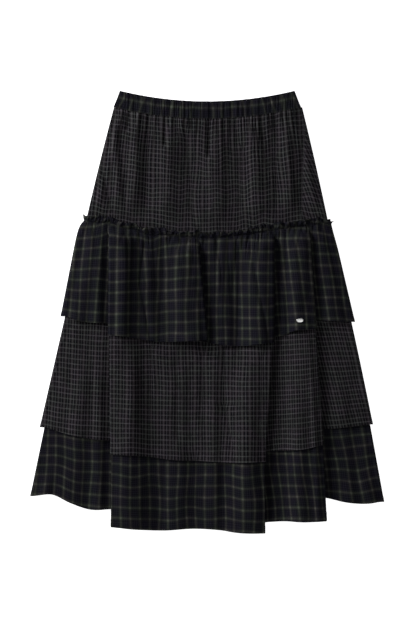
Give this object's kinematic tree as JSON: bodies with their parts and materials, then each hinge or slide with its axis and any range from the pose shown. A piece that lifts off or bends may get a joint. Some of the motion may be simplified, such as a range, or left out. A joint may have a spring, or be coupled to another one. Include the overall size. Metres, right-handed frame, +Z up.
{
  "type": "tiered ruffle skirt",
  "caption": "Long tiered skirt laid flat, with a gathered elastic waistband, a yoke, a headed ruffle over the hips and two lower tiers in deep soft folds.",
  "frame": {"origin": "on the surface that the skirt lies on, under the middle of its outline", "axes": "+X across the skirt to the right of the picture, +Y along the skirt towards the waist, +Z up from the surface, out of the front"},
  "size_m": [0.644, 0.804, 0.0263],
  "materials": {
    "large_check": "matte woven cloth, near-black navy with soft olive-grey windowpane lines about every 20 mm",
    "small_check": "matte woven cloth, black with fine grey and muted brown check lines about every 6 to 9 mm",
    "plate_metal": "polished"
  },
  "bodies": {
    "root": {"waistband_front": "large_check", "waistband_back": "large_check", "upper_front": "small_check", "upper_back": "small_check", "ruffle_front": "large_check", "ruffle_back": "large_check", "middle_front": "small_check", "middle_back": "small_check", "bottom_front": "large_check", "bottom_back": "large_check", "label_plate": "plate_metal"}
  },
  "joints": []
}
